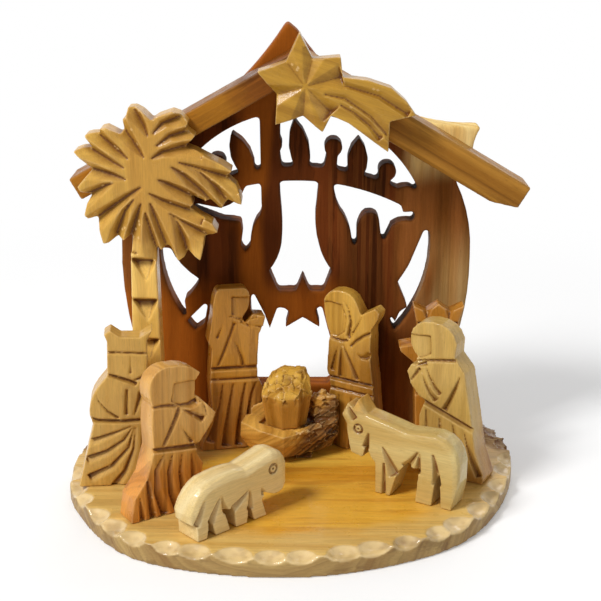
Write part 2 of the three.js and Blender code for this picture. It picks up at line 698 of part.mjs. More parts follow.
function fatherFigure() {
  const outline = (pen) => {
    pen.moveTo(0.09, 0);
    pen.lineTo(0.09, 0.21);
    pen.lineTo(0.15, 0.41);
    pen.lineTo(0.085, 0.5);
    pen.lineTo(0.12, 0.72);
    pen.quadraticCurveTo(0.01, 0.8, 0, 0.92);
    pen.quadraticCurveTo(0.06, 1, 0.28, 1);
    pen.quadraticCurveTo(0.52, 1, 0.6, 0.93);
    pen.lineTo(0.68, 0.865);
    pen.lineTo(0.92, 0.915);
    pen.lineTo(1, 0.885);
    pen.lineTo(0.97, 0.845);
    pen.lineTo(0.86, 0.78);
    pen.lineTo(0.86, 0.6);
    pen.lineTo(0.91, 0.46);
    pen.lineTo(0.97, 0.2);
    pen.lineTo(1, 0);
  };
  const face = [
    [-0.1, 0.91], [0.1, 0.93], [0.34, 0.915], [0.42, 0.84], [0.4, 0.75], [0.26, 0.71], [-0.1, 0.73],
  ];
  const blank = figureBlank(fatherSize, outline).subtract(sunk(fatherSize, face, 1.1));
  return carved(fatherSize, blank, [
    [[[0.34, 0.95], [0.5, 0.86], [0.46, 0.72]], 2.6, 2, 0.4, 1],
    [[[0.02, 0.92], [0.2, 0.9], [0.3, 0.8]], 2, 1.9, 0.6, 0.6],
    [[[0.46, 0.7], [0.3, 0.69], [0.06, 0.72]], 2.4, 1.8, 0.8, 0.8],
    [[[0.46, 0.71], [0.6, 0.78], [0.7, 0.86]], 2.8, 1.9, 0.8, 0.5],
    [[[0.5, 0.66], [0.66, 0.72], [0.86, 0.76]], 2.8, 1.9, 0.6, 0.9],
    [[[0.62, 0.62], [0.74, 0.59], [0.88, 0.62]], 3.5, 1.8, 0.3, 1, 0.6],
    [[[0.34, 0.69], [0.5, 0.57], [0.64, 0.46]], 3, 1.8, 0.4, 0.7],
    [[[0.34, 0.69], [0.31, 0.46]], 3.5, 1.6, 0.3, 0.9, 0.6],
    [[[0.28, 0.67], [0.16, 0.5]], 3, 1.4, 0.3, 0.9, 0.6],
    [[[0.04, 0.455], [0.92, 0.43]], 2, 1.7, 1, 1],
    [[[0.08, 0.39], [0.94, 0.365]], 1.6, 1.1, 1, 1],
    [[[0.3, 0.35], [0.2, 0]], 4.1, 1.8, 0.3, 1, 0.6],
    [[[0.52, 0.34], [0.5, 0]], 4.1, 1.8, 0.3, 1, 0.6],
    [[[0.74, 0.33], [0.8, 0]], 4.1, 1.8, 0.3, 1, 0.6],
  ]);
}

function leftKing() {
  const outline = (pen) => {
    pen.moveTo(0, 0);
    pen.lineTo(0.185, 0.34);
    pen.lineTo(0.22, 0.41);
    pen.lineTo(0.18, 0.45);
    pen.quadraticCurveTo(0.16, 0.56, 0.29, 0.64);
    pen.lineTo(0.42, 0.715);
    pen.lineTo(0.435, 0.93);
    pen.lineTo(0.4, 0.975);
    pen.lineTo(0.48, 1);
    pen.lineTo(0.6, 0.955);
    pen.lineTo(0.84, 0.95);
    pen.lineTo(1, 1);
    pen.lineTo(0.93, 0.93);
    pen.lineTo(0.915, 0.71);
    pen.lineTo(0.86, 0.665);
    pen.lineTo(0.95, 0.62);
    pen.lineTo(0.93, 0.42);
    pen.lineTo(0.97, 0);
  };
  return carved(kingSize, figureBlank(kingSize, outline), [
    [[[0.38, 0.865], [0.98, 0.845]], 1.8, 1.5, 1, 1],
    [[[0.72, 0.84], [0.71, 0.72]], 2, 1.3, 0.6, 1],
    [[[0.4, 0.725], [0.62, 0.69], [0.78, 0.655]], 2.4, 2, 0.8, 1],
    [[[0.7, 0.67], [0.95, 0.715]], 2.6, 2, 0.4, 1],
    [[[0.26, 0.62], [0.34, 0.52], [0.54, 0.44]], 2, 1.5, 0.3, 0.8],
    [[[0.66, 0.63], [0.64, 0.46]], 3.4, 1.8, 0.5, 0.6],
    [[[0.84, 0.61], [0.74, 0.46]], 2.4, 1.6, 1, 0.4],
    [[[0.14, 0.455], [0.4, 0.42], [0.96, 0.425]], 2, 1.6, 1, 1],
    [[[0.7, 0.39], [0.42, 0.34], [0.12, 0.3]], 3.8, 1.7, 0.3, 1, 0.6],
    [[[0.7, 0.38], [0.5, 0.26], [0.1, 0.19]], 3.8, 1.8, 0.3, 1, 0.6],
    [[[0.72, 0.38], [0.56, 0.18], [0.12, 0.07]], 3.8, 1.8, 0.3, 1, 0.6],
    [[[0.74, 0.38], [0.66, 0.16], [0.42, 0]], 3.8, 1.8, 0.3, 1, 0.6],
    [[[0.82, 0.38], [0.8, 0.16], [0.7, 0]], 3.8, 1.8, 0.3, 1, 0.6],
    [[[0.9, 0.38], [0.92, 0]], 3.2, 1.6, 0.3, 1, 0.6],
  ]);
}

function shepherdFigure() {
  const outline = (pen) => {
    pen.moveTo(0, 0);
    pen.lineTo(0.04, 0.16);
    pen.lineTo(0.19, 0.28);
    pen.lineTo(0.28, 0.46);
    pen.lineTo(0.27, 0.62);
    pen.lineTo(0.29, 0.76);
    pen.quadraticCurveTo(0.22, 0.88, 0.3, 0.95);
    pen.quadraticCurveTo(0.38, 1.01, 0.5, 1);
    pen.quadraticCurveTo(0.72, 1, 0.84, 0.92);
    pen.lineTo(0.79, 0.88);
    pen.lineTo(0.78, 0.77);
    pen.lineTo(0.83, 0.75);
    pen.lineTo(1, 0.63);
    pen.lineTo(0.96, 0.57);
    pen.lineTo(0.78, 0.43);
    pen.lineTo(0.77, 0.38);
    pen.lineTo(0.84, 0.3);
    pen.lineTo(0.78, 0.12);
    pen.lineTo(0.76, 0);
  };
  const face = [[0.54, 0.885], [0.95, 0.875], [0.95, 0.72], [0.66, 0.715], [0.5, 0.76]];
  const blank = figureBlank(shepherdSize, outline).subtract(sunk(shepherdSize, face, 1.2));
  return carved(shepherdSize, blank, [
    [[[0.27, 0.75], [0.42, 0.75], [0.56, 0.73]], 2.4, 1.7, 0.8, 1],
    [[[0.54, 0.75], [0.66, 0.715], [0.8, 0.735]], 4.2, 2.8, 0.6, 1],
    [[[0.6, 0.72], [0.5, 0.6], [0.38, 0.47]], 3, 1.9, 0.9, 0.5],
    [[[0.6, 0.71], [0.72, 0.66], [0.86, 0.6]], 3, 2, 0.5, 1],
    [[[0.86, 0.74], [0.9, 0.62]], 2, 1.3, 1, 0.5],
    [[[0.6, 0.58], [0.72, 0.46]], 2.4, 1.4, 0.3, 0.8],
    [[[0.18, 0.47], [0.84, 0.425]], 2.2, 1.9, 1, 1],
    [[[0.38, 0.42], [0.26, 0.26], [0.36, 0]], 4.1, 1.9, 0.3, 1, 0.6],
    [[[0.48, 0.41], [0.42, 0.22], [0.52, 0]], 4.1, 2, 0.3, 1, 0.6],
    [[[0.59, 0.4], [0.56, 0.2], [0.66, 0]], 4.1, 2, 0.3, 1, 0.6],
    [[[0.7, 0.39], [0.72, 0.08]], 3.8, 1.8, 0.3, 1, 0.6],
    [[[0.2, 0.27], [0.22, 0.12], [0.25, 0]], 3, 2.2, 0.5, 1],
    [[[0.1, 0.17], [0.13, 0]], 2.6, 1.9, 0.4, 1],
  ]);
}

function wiseMan() {
  const outline = (pen) => {
    pen.moveTo(0.18, 0);
    pen.lineTo(0.17, 0.38);
    pen.lineTo(0.22, 0.465);
    pen.lineTo(0.05, 0.58);
    pen.lineTo(0, 0.66);
    pen.lineTo(0.045, 0.705);
    pen.lineTo(0.12, 0.71);
    pen.lineTo(0.11, 0.76);
    pen.quadraticCurveTo(0, 0.82, 0.02, 0.89);
    pen.quadraticCurveTo(0.06, 1, 0.3, 1);
    pen.quadraticCurveTo(0.54, 1, 0.6, 0.88);
    pen.lineTo(0.58, 0.79);
    pen.lineTo(0.71, 0.7);
    pen.lineTo(0.76, 0.56);
    pen.lineTo(0.8, 0.45);
    pen.lineTo(0.88, 0.2);
    pen.lineTo(1, 0.03);
    pen.lineTo(0.98, 0);
  };
  const face = [[-0.05, 0.9], [0.28, 0.91], [0.29, 0.79], [0.14, 0.75], [-0.05, 0.78]];
  const blank = figureBlank(wiseManSize, outline).subtract(sunk(wiseManSize, face, 1.2));
  return carved(wiseManSize, blank, [
    [[[0.12, 0.735], [0.34, 0.755], [0.6, 0.775]], 2.2, 1.8, 0.8, 1],
    [[[0.1, 0.7], [0.24, 0.73]], 3, 2.2, 0.5, 1],
    [[[0.05, 0.6], [0.16, 0.69]], 2.2, 1.6, 0.5, 1],
    [[[0.24, 0.7], [0.32, 0.6], [0.42, 0.54]], 3.2, 1.9, 0.4, 0.8],
    [[[0.18, 0.66], [0.26, 0.55], [0.36, 0.49]], 3.5, 1.7, 0.3, 0.9, 0.6],
    [[[0.66, 0.68], [0.58, 0.56], [0.48, 0.44]], 2.8, 2, 0.4, 1],
    [[[0.13, 0.495], [0.86, 0.34]], 2.3, 1.9, 1, 1],
    [[[0.25, 0.43], [0.26, 0]], 4.1, 1.8, 0.3, 1, 0.6],
    [[[0.42, 0.39], [0.44, 0.2], [0.48, 0]], 4.1, 1.9, 0.3, 1, 0.6],
    [[[0.58, 0.36], [0.64, 0.2], [0.72, 0.02]], 4.1, 1.9, 0.3, 1, 0.6],
    [[[0.73, 0.32], [0.8, 0.18], [0.92, 0.04]], 3.5, 1.8, 0.3, 1, 0.6],
  ]);
}

function rearKing() {
  const outline = (pen) => {
    pen.moveTo(0.25, 0);
    pen.lineTo(0.22, 0.4);
    pen.lineTo(0.24, 0.6);
    pen.lineTo(0.02, 0.69);
    pen.lineTo(0, 0.72);
    pen.lineTo(0.2, 0.735);
    pen.lineTo(0.26, 0.77);
    pen.lineTo(0.21, 0.9);
    pen.lineTo(0.17, 0.99);
    pen.lineTo(0.35, 0.945);
    pen.lineTo(0.5, 1);
    pen.lineTo(0.65, 0.945);
    pen.lineTo(0.84, 0.99);
    pen.lineTo(0.78, 0.9);
    pen.lineTo(0.75, 0.75);
    pen.lineTo(0.95, 0.6);
    pen.lineTo(1, 0.52);
    pen.lineTo(0.95, 0.3);
    pen.lineTo(1, 0);
  };
  return carved(rearKingSize, figureBlank(rearKingSize, outline), [
    [[[0.16, 0.875], [0.84, 0.875]], 1.8, 1.6, 1, 1],
    [[[0.2, 0.755], [0.8, 0.755]], 2.2, 1.8, 1, 1],
    [[[0.35, 0.97], [0.36, 0.89]], 4.6, 2.6, 1, 0.3],
    [[[0.65, 0.97], [0.64, 0.89]], 4.6, 2.6, 1, 0.3],
    [[[0.5, 0.86], [0.5, 0.78]], 2, 1.3, 0.5, 1],
    [[[0.18, 0.42], [1, 0.42]], 2.2, 1.8, 1, 1],
    [[[0.44, 0.73], [0.36, 0.6], [0.3, 0.46]], 3, 1.8, 0.8, 0.4],
    [[[0.6, 0.73], [0.68, 0.6], [0.78, 0.46]], 3, 1.8, 0.8, 0.4],
    [[[0.4, 0.39], [0.34, 0]], 4.1, 1.8, 0.3, 1, 0.6],
    [[[0.58, 0.39], [0.56, 0]], 4.1, 1.8, 0.3, 1, 0.6],
    [[[0.76, 0.39], [0.82, 0]], 4.1, 1.8, 0.3, 1, 0.6],
  ]);
}

// Animals

// A board sawn to a back and an underside, with the edges of the back planed round.
// The back is drawn from the tail to the muzzle, and the underside carries on from it.
function animalBlank(size, drawBack, drawUnderside, ease) {
  const { width, height, thickness } = size;
  const drawWhole = (pen) => {
    drawBack(pen);
    drawUnderside(pen);
  };
  const planed = new THREE.Shape();
  drawBack(planed);
  const crest = planed.getPoints(4).map((p) => new THREE.Vector2(p.x * width, p.y * height));
  const below = -3 * ease;
  const last = crest[crest.length - 1];
  const skirt = [new THREE.Vector2(last.x, below), new THREE.Vector2(crest[0].x, below)];
  const options = {
    depth: thickness - 2 * ease,
    bevelThickness: ease,
    bevelSize: ease,
    bevelOffset: -ease,
    bevelSegments: 2,
  };
  const envelope = new THREE.ExtrudeGeometry(new THREE.Shape([...crest, ...skirt]), options);
  envelope.rotateX(Math.PI / 2);
  envelope.translate(0, thickness - ease, 0);
  return board(traced(drawWhole, width, height), 0, thickness).intersect(toSolid(envelope));
}

// A drilled ring for an eye with the point of the drill in its middle, on the face at the front
function eyeRing(size, [x, z], radius) {
  const at = [x * size.width, z * size.height];
  const outer = disc(...at, radius, -1, 0.8, 16);
  const inner = disc(...at, radius * 0.6, -2, 2, 16);
  const point = disc(...at, radius * 0.22, -1, 0.9, 8);
  return outer.subtract(inner).add(point);
}

function sheep() {
  const back = (pen) => {
    pen.moveTo(0, 0.3);
    pen.lineTo(-0.01, 0.44);
    pen.quadraticCurveTo(0.06, 0.78, 0.2, 0.86);
    pen.quadraticCurveTo(0.42, 0.93, 0.56, 0.87);
    pen.quadraticCurveTo(0.72, 0.94, 0.84, 1);
    pen.quadraticCurveTo(0.98, 0.98, 1, 0.76);
    pen.lineTo(1, 0.46);
  };
  const underside = (pen) => {
    pen.quadraticCurveTo(0.94, 0.27, 0.85, 0.3);
    pen.lineTo(0.755, 0.38);
    pen.lineTo(0.72, 0.28);
    pen.lineTo(0.764, 0);
    pen.lineTo(0.635, 0);
    pen.lineTo(0.6, 0.22);
    pen.lineTo(0.575, 0.22);
    pen.lineTo(0.56, 0);
    pen.lineTo(0.445, 0);
    pen.lineTo(0.43, 0.33);
    pen.lineTo(0.33, 0.33);
    pen.lineTo(0.385, 0);
    pen.lineTo(0.24, 0);
    pen.lineTo(0.2, 0.26);
    pen.lineTo(0.175, 0.26);
    pen.lineTo(0.155, 0);
    pen.lineTo(0.06, 0);
    pen.lineTo(0.055, 0.24);
  };
  return carved(sheepSize, animalBlank(sheepSize, back, underside, sheepEase), [
    [[[0.05, 0.25], [0.1, 0.45], [0.14, 0.62]], 3.4, 2.2, 1, 0.25],
    [[[0.19, 0.22], [0.24, 0.42], [0.305, 0.6]], 3.4, 2.4, 1, 0.25],
    [[[0.35, 0.3], [0.32, 0.44], [0.31, 0.6]], 3, 2.2, 1, 0.3],
    [[[0.41, 0.31], [0.5, 0.41], [0.585, 0.52]], 3.2, 2.2, 1, 0.3],
    [[[0.59, 0.2], [0.6, 0.36], [0.59, 0.52]], 3.2, 2.2, 1, 0.3],
    [[[0.74, 0.36], [0.71, 0.5]], 2.6, 1.6, 1, 0.2],
  ]).subtract(eyeRing(sheepSize, [0.84, 0.72], 1.9));
}

function ox() {
  const back = (pen) => {
    pen.moveTo(1, 0.3);
    pen.lineTo(1, 0.5);
    pen.quadraticCurveTo(0.97, 0.75, 0.8, 0.78);
    pen.lineTo(0.56, 0.755);
    pen.quadraticCurveTo(0.42, 0.8, 0.22, 0.855);
    pen.lineTo(0.145, 1);
    pen.lineTo(0.1, 0.895);
    pen.lineTo(0.05, 0.93);
    pen.lineTo(0, 0.8);
    pen.lineTo(0.045, 0.7);
  };
  const underside = (pen) => {
    pen.lineTo(0.1, 0.4);
    pen.lineTo(0.2, 0.37);
    pen.lineTo(0.23, 0.52);
    pen.lineTo(0.27, 0.4);
    pen.lineTo(0.31, 0.34);
    pen.lineTo(0.315, 0);
    pen.lineTo(0.44, 0);
    pen.lineTo(0.5, 0.28);
    pen.lineTo(0.57, 0.4);
    pen.lineTo(0.68, 0.36);
    pen.lineTo(0.655, 0);
    pen.lineTo(0.79, 0);
    pen.lineTo(0.815, 0.3);
    pen.lineTo(0.85, 0.36);
    pen.lineTo(0.87, 0);
    pen.lineTo(0.95, 0);
  };
  return carved(oxSize, animalBlank(oxSize, back, underside, oxEase), [
    [[[0.39, 0], [0.385, 0.36]], 2, 1.8, 1, 0.6],
    [[[0.48, 0.24], [0.37, 0.54]], 5.6, 2.8, 1, 0.2],
    [[[0.56, 0.36], [0.62, 0.46], [0.67, 0.57]], 3.6, 2.6, 1, 0.3],
    [[[0.67, 0.33], [0.68, 0.56]], 3, 2.4, 1, 0.3],
    [[[0.83, 0.24], [0.82, 0.4], [0.79, 0.58]], 4, 3, 1, 0.3],
    [[[0.225, 0.48], [0.25, 0.66]], 3.2, 2.4, 1, 0.3],
    [[[0.05, 0.92], [0.13, 0.78]], 3, 2.4, 0.6, 1],
  ]).subtract(eyeRing(oxSize, [0.16, 0.68], 1.8));
}

// Manger and infant

// Corners of the manger's rim in shares of its width, depth and height, anticlockwise from the left
const mangerRim = [
  [-0.49, -0.02, 0.97], [-0.31, -0.34, 0.95], [-0.07, -0.48, 0.84], [0.18, -0.3, 0.9], [0.45, 0, 0.98],
  [0.48, 0.12, 1.04], [0.2, 0.46, 1], [-0.16, 0.42, 1], [-0.44, 0.18, 1.05],
];

// Corners of the branch stubs at the manger's right end and left back, in the same shares
const mangerStubs = [
  [
    [0.1, 0.04, 0.8], [0.45, -0.02, 0.8], [0.48, 0.13, 0.8], [0.18, 0.4, 0.8],
    [0.17, 0.14, 1.45], [0.3, 0.05, 1.66], [0.43, 0.07, 1.7], [0.47, 0.14, 1.45], [0.3, 0.3, 1.74],
  ],
  [
    [-0.42, 0.13, 0.8], [-0.2, 0.14, 0.8], [-0.13, 0.36, 0.8], [-0.25, 0.3, 0.8],
    [-0.39, 0.16, 1.3], [-0.26, 0.2, 1.36], [-0.15, 0.34, 1.44], [-0.25, 0.29, 1.4],
  ],
];

// Plan corners of the infant in shares of its width and depth, anticlockwise from the left
const infantPlan = [[-0.5, -0.1], [-0.1, -0.5], [0.26, -0.42], [0.5, 0.02], [0.42, 0.5], [-0.3, 0.5]];
const infantSeatWidth = infantWidth + 2 * seatClearance;
const infantSeatDepth = infantDepth + 2 * seatClearance;

function manger() {
  const corners = [];
  const belly = mangerLift + (mangerHeight - mangerLift) * mangerBelly;
  for (const [x, y, z] of mangerRim) {
    corners.push(new THREE.Vector3(x * mangerWidth, y * mangerDepth, z * mangerHeight));
    corners.push(new THREE.Vector3(x * mangerWidth * 1.02, y * mangerDepth * 0.98, belly));
    corners.push(new THREE.Vector3(x * mangerWidth * 0.84, y * mangerDepth * 0.8, mangerLift));
  }
  const trough = toSolid(new ConvexGeometry(corners));
  const bowl = new THREE.IcosahedronGeometry(1, 2);
  bowl.scale(mangerWidth * 0.38, mangerDepth * 0.36, hollowDepth + 2);
  bowl.translate(0, 0, mangerHeight + 2);
  const stubs = mangerStubs.map((points) => {
    const ends = points
      .map(([x, y, z]) => new THREE.Vector3(x * mangerWidth, y * mangerDepth, z * mangerHeight));
    return toSolid(new ConvexGeometry(ends));
  });
  const plan = infantPlan
    .map(([x, y]) => new THREE.Vector2(x * infantSeatWidth + infantOffset, y * infantSeatDepth));
  const seat = slab(plan, mangerHeight - hollowDepth, mangerHeight + infantFrontHeight);
  const feet = [-0.24, 0.13].map((share) => {
    const foot = new THREE.BoxGeometry(mangerWidth * 0.16, mangerDepth * 0.4, mangerLift + 1);
    foot.translate(share * mangerWidth, mangerDepth * 0.06, (mangerLift + 1) / 2);
    return toSolid(foot);
  });
  const tray = joinAll([trough.subtract(toSolid(bowl)), ...stubs]).subtract(seat);
  return joinAll([tray, ...feet]);
}

// Corners of the infant's split top in shares of its width, depth and back height
const infantTop = [
  [-0.4, 0.08, 0.75], [-0.3, 0.42, 0.87], [-0.18, 0.18, 0.9], [-0.04, 0.44, 1], [0.02, 0, 0.84],
  [0.12, -0.18, 0.69], [0.3, 0.06, 0.9], [0.38, 0.42, 0.98], [0.46, 0.22, 0.82],
];

// A split block hewn narrower to its foot, with a rough top that climbs towards the back
function infant() {
  const ring = (share, height) => infantPlan
    .map(([x, y]) => new THREE.Vector3(x * infantWidth * share, y * infantDepth * share, height));
  const top = infantTop
    .map(([x, y, z]) => new THREE.Vector3(x * infantWidth, y * infantDepth, z * infantBackHeight));
  return toSolid(new ConvexGeometry([...ring(0.78, 0), ...ring(1, infantFrontHeight), ...top]));
}

// Woods: colour and roughness of each board
const paleWood = { color: 0xd9b36c, roughness: 0.35 };
const goldenWood = { color: 0xbd8a43, roughness: 0.35 };
const tanWood = { color: 0xc08a50, roughness: 0.4 };
const redWood = { color: 0x8a4a22, roughness: 0.4 };
const darkWood = { color: 0x4a2410, roughness: 0.4 };
const stripedWood = { color: 0x8b6132, roughness: 0.6 };
const roughWood = { color: 0xb88a3c, roughness: 0.7 };

// Assembly

const stable = new THREE.Group();

const floor = new THREE.Group();
floor.position.z = baseThickness + glueLine;
stable.add(floor);

stable.add(piece('base', carvedBase(), paleWood));

function place(mesh, x, y, z = 0) {
  mesh.position.set(x, y, z);
  floor.add(mesh);
  return mesh;
}

// Stands a figure on the base with its left front foot at a place, turned about that foot
function stand(mesh, { x, y, turn = 0 }) {
  place(mesh, x, y).rotation.z = THREE.MathUtils.degToRad(turn);
}

const slatFront = panelFront - glueLine - roofDepth;
place(piece('back_panel', backPanel(), darkWood), 0, panelFront);
place(piece('roof_slat_left', leftSlat(), goldenWood), 0, slatFront);
place(piece('roof_slat_right', rightSlat(), tanWood), 0, slatFront);
place(piece('comet_star', cometStar(), paleWood), starX, slatFront - glueLine - starThickness, starHeight);
place(piece('palm_tree', palm(), goldenWood), palmX, slatFront - glueLine - palmThickness);

stand(piece('mother_figure', motherFigure(), goldenWood), motherPlace);
stand(piece('father_figure', fatherFigure(), goldenWood), fatherPlace);
stand(piece('crowned_king_left', leftKing(), paleWood), kingPlace);
stand(piece('hooded_shepherd', shepherdFigure(), tanWood), shepherdPlace);
stand(piece('veiled_wise_man', wiseMan(), paleWood), wiseManPlace);
stand(piece('crowned_king_right', rearKing(), redWood), rearKingPlace);
stand(piece('sheep', sheep(), paleWood), sheepPlace);
stand(piece('ox', ox(), paleWood), oxPlace);

stand(piece('manger', manger(), stripedWood), mangerPlace);
const hollowFloor = mangerHeight - hollowDepth + glueLine;
place(piece('infant', infant(), roughWood), mangerPlace.x + infantOffset, mangerPlace.y, hollowFloor);

export default stable;
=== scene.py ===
from math import radians

import bpy
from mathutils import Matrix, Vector

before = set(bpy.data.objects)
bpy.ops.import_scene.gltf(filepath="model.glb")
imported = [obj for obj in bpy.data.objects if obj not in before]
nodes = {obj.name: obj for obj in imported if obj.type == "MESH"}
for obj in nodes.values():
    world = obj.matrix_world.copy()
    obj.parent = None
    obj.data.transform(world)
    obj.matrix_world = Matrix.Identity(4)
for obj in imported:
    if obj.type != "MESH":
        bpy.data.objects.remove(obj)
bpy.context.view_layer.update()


# The base is a slice of olive trunk with the grain from left to right, planed on top and flooded
# with glossy varnish. Scoops are cut round its front rim, and bark is left on the rear rim.

def colour(code):
    """The colour written as six hexadecimal digits, as Blender counts light."""
    parts = [int(code[i:i + 2], 16) / 255 for i in (0, 2, 4)]
    return tuple(((p + 0.055) / 1.055) ** 2.4 if p > 0.04 else p / 12.92 for p in parts) + (1,)


def add(tree, kind, sockets=(), **settings):
    """One shader node: its settings, and what each socket holds or is joined to."""
    made = tree.nodes.new(kind if "Node" in kind else "ShaderNode" + kind)
    for name, value in settings.items():
        setattr(made, name, value)
    for key, value in dict(sockets).items():
        if isinstance(value, bpy.types.NodeSocket):
            tree.links.new(value, made.inputs[key])
        else:
            made.inputs[key].default_value = value
    return made


def reckon(tree, operation, *values):
    return add(tree, "Math", dict(enumerate(values)), operation=operation).outputs[0]


def times(tree, product, *others):
    for value in others:
        product = reckon(tree, "MULTIPLY", product, value)
    return product


def vector(tree, operation, *values):
    second = "Scale" if operation == "SCALE" else 1
    made = add(tree, "VectorMath", dict(zip((0, second), values)), operation=operation)
    return made.outputs["Value" if operation in ("LENGTH", "DOT_PRODUCT") else "Vector"]


def between(tree, value, low, high, to_low=0.0, to_high=1.0):
    """A value eased from one range into another."""
    sockets = {"Value": value, 1: low, 2: high, 3: to_low, 4: to_high}
    return add(tree, "MapRange", sockets, interpolation_type="SMOOTHSTEP").outputs[0]


def band(tree, value, start, full, waning, end):
    """1 where the value lies inside a band, eased down to 0 over its two borders."""
    return times(tree, between(tree, value, start, full), between(tree, value, end, waning))


def blend(tree, share, first, second, way="MIX"):
    sockets = {0: share, 6: first, 7: second}
    return add(tree, "Mix", sockets, data_type="RGBA", blend_type=way).outputs[2]


def noise(tree, place, scale, detail, roughness=0.5, output=0):
    sockets = {"Vector": place, "Scale": scale, "Detail": detail, "Roughness": roughness}
    return add(tree, "TexNoise", sockets).outputs[output]


def start_group(name, inputs, outputs):
    """An empty shader node group with its sockets, each given as name, kind and first value."""
    tree = bpy.data.node_groups.new(name, "ShaderNodeTree")
    for label, kind, value in inputs:
        made = tree.interface.new_socket(label, in_out="INPUT", socket_type="NodeSocket" + kind)
        made.default_value = value
    for label, kind in outputs:
        tree.interface.new_socket(label, in_out="OUTPUT", socket_type="NodeSocket" + kind)
    return tree, tree.nodes.new("NodeGroupInput").outputs, tree.nodes.new("NodeGroupOutput").inputs


def olive_grain():
    """Rings, dark figure, fibres and pores of a board, in millimetres with the grain along Z."""
    tree, given, gives = start_group("Olive grain", [
        ("Place", "Vector", (0, 0, 0)), ("Ring Width", "Float", 3.0), ("Wander", "Float", 5.0),
        ("Light", "Color", (1, 1, 1, 1)), ("Deep", "Color", (1, 1, 1, 1)),
        ("Dark Line", "Color", (0, 0, 0, 1)), ("Lines", "Float", 0.3), ("Figure", "Float", 0.2),
    ], [("Colour", "Color"), ("Relief", "Float")])
    place = given["Place"]
    slow = vector(tree, "MULTIPLY", place, (1, 1, 0.16))
    drift = vector(tree, "SUBTRACT", noise(tree, slow, 0.05, 3, 0.55, 1), (0.5, 0.5, 0.5))
    pull = vector(tree, "MULTIPLY", drift, add(tree, "CombineXYZ", {
        0: given["Wander"], 1: given["Wander"], 2: 0.0}).outputs[0])
    bent = vector(tree, "ADD", place, pull)
    radius = vector(tree, "LENGTH", vector(tree, "MULTIPLY", bent, (1, 1, 0)))
    rings = reckon(tree, "DIVIDE", radius, given["Ring Width"])
    band_place = add(tree, "CombineXYZ", {0: rings, 1: 0.0, 2: 0.0}).outputs[0]
    bands = between(tree, noise(tree, band_place, 0.45, 3, 0.6), 0.36, 0.66)
    late = between(tree, reckon(tree, "FRACT", rings), 0.45, 0.98)
    late = times(tree, late, between(tree, noise(tree, band_place, 1.3, 1), 0.35, 0.7))
    along = vector(tree, "MULTIPLY", bent, (0.16, 0.16, 0.012))
    flow = noise(tree, along, 1.0, 5, 0.6)
    figure = times(tree, between(tree, flow, 0.55, 0.6), given["Figure"])
    fibre = noise(tree, vector(tree, "MULTIPLY", place, (2.4, 2.4, 0.16)), 1.0, 3, 0.6)
    fleck = noise(tree, vector(tree, "MULTIPLY", place, (5.0, 5.0, 0.55)), 1.0, 1)
    pores = between(tree, fleck, 0.66, 0.74)
    wood = blend(tree, bands, given["Light"], given["Deep"])
    wood = blend(tree, times(tree, late, given["Lines"]), wood, given["Dark Line"])
    wood = blend(tree, figure, wood, given["Dark Line"])
    wood = blend(tree, times(tree, pores, 0.25), wood, given["Dark Line"])
    shade = between(tree, fibre, 0.25, 0.75, 0.9, 1.08)
    grey = add(tree, "CombineColor", {0: shade, 1: shade, 2: shade}).outputs[0]
    wood = blend(tree, 1.0, wood, grey, "MULTIPLY")
    relief = reckon(tree, "SUBTRACT", times(tree, fibre, 0.8), times(tree, pores, 0.7))
    relief = reckon(tree, "SUBTRACT", relief, times(tree, late, 0.3))
    tree.links.new(wood, gives["Colour"])
    tree.links.new(relief, gives["Relief"])
    return tree


bare_and_highlit_wood = (0.92, 0.66, 0.32, 1)
cut_reach = 0.0035


def knife_shade_and_finish():
    """Painted shade, stain and varnish in the cuts, painted highlight on worn ridges, faint blade
    marks.
    """
    tree, given, gives = start_group("Knife shade and finish", [
        ("Place", "Vector", (0, 0, 0)), ("Colour", "Color", (1, 1, 1, 1)),
        ("Grain Relief", "Float", 0.0), ("Cut Shade And Stain", "Color", (0.2, 0.05, 0.01, 1)),
        ("Cuts", "Float", 0.6), ("Highlight And Wear", "Float", 0.2),
    ], [("Colour", "Color"), ("Gloss", "Float"), ("Relief", "Float")])
    # Cut floors and creases: painted shade and stain. Ridges: painted highlight and wear.
    bend = add(tree, "NewGeometry").outputs["Pointiness"]
    crease = between(tree, bend, 0.492, 0.455)
    ridge = between(tree, bend, 0.512, 0.58)
    shelter = add(tree, "AmbientOcclusion", {"Distance": cut_reach}, samples=6, only_local=True)
    occluded = between(tree, shelter.outputs["AO"], 0.97, 0.58)
    patchy = between(tree, noise(tree, given["Place"], 0.16, 2), 0.3, 0.7, 0.5, 1.0)
    cut_darkening = times(tree, occluded, patchy, given["Cuts"])
    cut_darkening = reckon(tree, "ADD", cut_darkening, times(tree, crease, given["Cuts"]))
    cut_darkening = reckon(tree, "MINIMUM", cut_darkening, 1.0)
    shaded_and_stained = blend(tree, cut_darkening, given["Colour"], given["Cut Shade And Stain"])
    highlight_and_wear = times(tree, ridge, given["Highlight And Wear"])
    finished = blend(tree, highlight_and_wear, shaded_and_stained, bare_and_highlit_wood)
    smear = noise(tree, given["Place"], 0.22, 3)
    gloss = between(tree, smear, 0.3, 0.7, 0.26, 0.42)
    gloss = reckon(tree, "ADD", gloss, times(tree, occluded, 0.12))
    marks = noise(tree, vector(tree, "MULTIPLY", given["Place"], (0.55, 0.55, 0.22)), 1.0, 1)
    relief = reckon(tree, "ADD", times(tree, given["Grain Relief"], 0.35), marks)
    tree.links.new(finished, gives["Colour"])
    tree.links.new(gloss, gives["Gloss"])
    tree.links.new(relief, gives["Relief"])
    return tree


grain_group = olive_grain()
knife_shade_group = knife_shade_and_finish()


